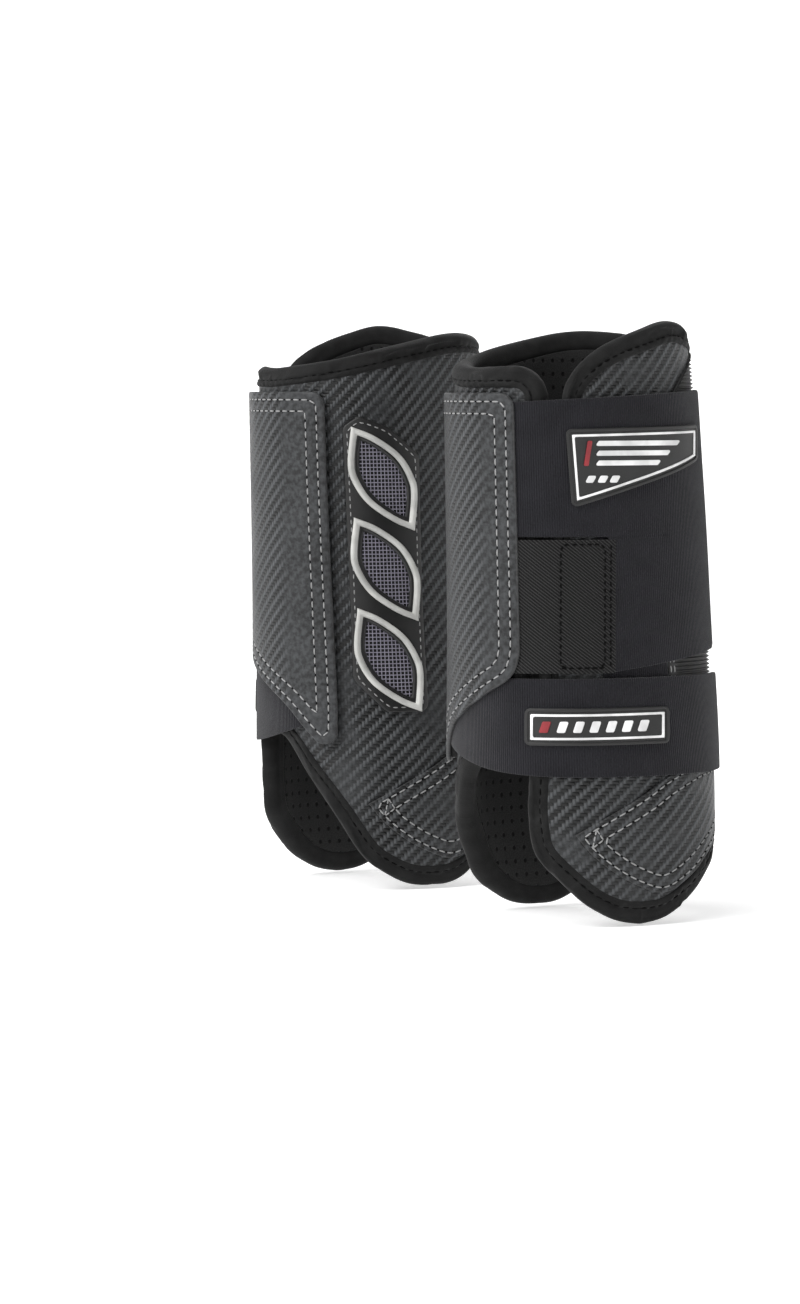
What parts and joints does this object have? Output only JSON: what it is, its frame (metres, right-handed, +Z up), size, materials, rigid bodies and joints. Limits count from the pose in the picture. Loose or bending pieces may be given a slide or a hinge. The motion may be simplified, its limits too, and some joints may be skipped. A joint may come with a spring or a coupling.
{
  "type": "tendon boots",
  "caption": "Pair of horse's front tendon boots with carbon-look shells, stitched strike shields, vented inner sides and wide hook-and-loop straps that swing open.",
  "frame": {"origin": "on the left leg's axis, level with the boots' lower edge", "axes": "+Z up the leg, -Y towards the boots' front, +X towards the left boot's outer side; the right boot is at -X"},
  "size_m": [0.282, 0.1199, 0.2611],
  "materials": {
    "liner": "fine knitted foam lining",
    "carbon_shell": "carbon-look twill texture",
    "spine": "fine horizontal ribs",
    "binding": "smooth neoprene",
    "strike_shield": "carbon-look twill texture",
    "foam": "dense foam",
    "vent_rubber": "smooth satin",
    "pale_rim": "satin silver grey",
    "vent_mesh": "open weave",
    "loop_fabric": "brushed loop",
    "elastic": "ribbed",
    "hook": "moulded hooks",
    "badge_rubber": "moulded",
    "badge_line": "raised white line"
  },
  "bodies": {
    "left_boot": {"left_body_liner": "liner", "left_flap_liner": "liner", "left_medial_shell": "carbon_shell", "left_front_shell": "carbon_shell", "left_lateral_shell": "carbon_shell", "left_ribbed_spine": "spine", "left_body_binding": "binding", "left_flap_binding": "binding", "left_heel_guard": "carbon_shell", "left_shield": "strike_shield", "left_shield_backing": "foam", "left_vent_plate": "vent_rubber", "left_vent_rims": "pale_rim", "left_vent_mesh": "vent_mesh", "left_upper_strap_root": "loop_fabric", "left_lower_strap_root": "loop_fabric", "left_upper_landing": "loop_fabric", "left_lower_landing": "loop_fabric"},
    "left_upper_strap": {"left_upper_strap": "loop_fabric", "left_elastic_insert": "elastic", "left_upper_hook_patch": "hook", "left_upper_badge": "badge_rubber", "left_upper_badge_frame": "badge_line"},
    "left_lower_strap": {"left_lower_strap": "loop_fabric", "left_lower_hook_patch": "hook", "left_lower_badge": "badge_rubber", "left_lower_badge_frame": "badge_line"},
    "right_boot": {"right_body_liner": "liner", "right_flap_liner": "liner", "right_medial_shell": "carbon_shell", "right_front_shell": "carbon_shell", "right_lateral_shell": "carbon_shell", "right_ribbed_spine": "spine", "right_body_binding": "binding", "right_flap_binding": "binding", "right_heel_guard": "carbon_shell", "right_shield": "strike_shield", "right_shield_backing": "foam", "right_vent_plate": "vent_rubber", "right_vent_rims": "pale_rim", "right_vent_mesh": "vent_mesh", "right_upper_strap_root": "loop_fabric", "right_lower_strap_root": "loop_fabric", "right_upper_landing": "loop_fabric", "right_lower_landing": "loop_fabric"},
    "right_upper_strap": {"right_upper_strap": "loop_fabric", "right_elastic_insert": "elastic", "right_upper_hook_patch": "hook", "right_upper_badge": "badge_rubber", "right_upper_badge_frame": "badge_line"},
    "right_lower_strap": {"right_lower_strap": "loop_fabric", "right_lower_hook_patch": "hook", "right_lower_badge": "badge_rubber", "right_lower_badge_frame": "badge_line"}
  },
  "joints": [
    {"name": "left_upper_strap_hinge", "type": "hinge", "parent": "left_boot", "child": "left_upper_strap", "pos_m": [0.0297, -0.04571, 0.16775], "axis": [0.0139, 0.0225, -0.9997], "range_deg": [0, 100]},
    {"name": "left_lower_strap_hinge", "type": "hinge", "parent": "left_boot", "child": "left_lower_strap", "pos_m": [0.03119, -0.0444, 0.0858], "axis": [0.028, 0.0011, -0.9996], "range_deg": [0, 100]},
    {"name": "right_upper_strap_hinge", "type": "hinge", "parent": "right_boot", "child": "right_upper_strap", "pos_m": [-0.2087, -0.04571, 0.16775], "axis": [0.0139, -0.0225, 0.9997], "range_deg": [0, 100]},
    {"name": "right_lower_strap_hinge", "type": "hinge", "parent": "right_boot", "child": "right_lower_strap", "pos_m": [-0.21019, -0.0444, 0.0858], "axis": [0.028, -0.0011, 0.9996], "range_deg": [0, 100]},
    {"name": "stance_slide", "type": "slide", "parent": "left_boot", "child": "right_boot", "axis": [-1, 0, 0], "range_m": [0, 0.1]}
  ]
}
